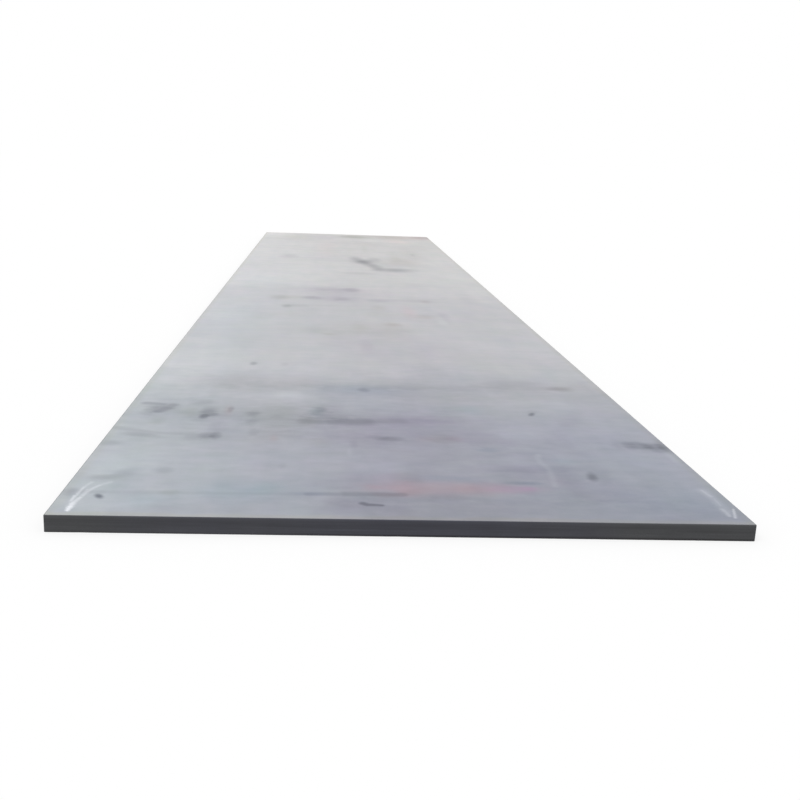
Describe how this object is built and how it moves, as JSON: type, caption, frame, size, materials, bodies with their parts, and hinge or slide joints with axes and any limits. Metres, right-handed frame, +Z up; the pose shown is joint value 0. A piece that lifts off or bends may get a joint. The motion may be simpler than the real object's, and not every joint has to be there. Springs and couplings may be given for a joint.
{
  "type": "steel plate",
  "caption": "Long flat rectangular plate of hot-rolled steel with torch-cut edges, raw stock for cutting, welding and heavy fabrication.",
  "frame": {"origin": "centre of the underside, on the floor that the plate lies on", "axes": "+X across the width, +Y along the length from the near end to the far end, +Z up through the thickness"},
  "size_m": [2, 10, 0.05],
  "materials": {
    "mill_scale": "pale blue-grey rolled skin with faint smudges, stains and scratches, and dark torch-cut edges"
  },
  "bodies": {
    "root": {"steel_plate": "mill_scale"}
  },
  "joints": []
}
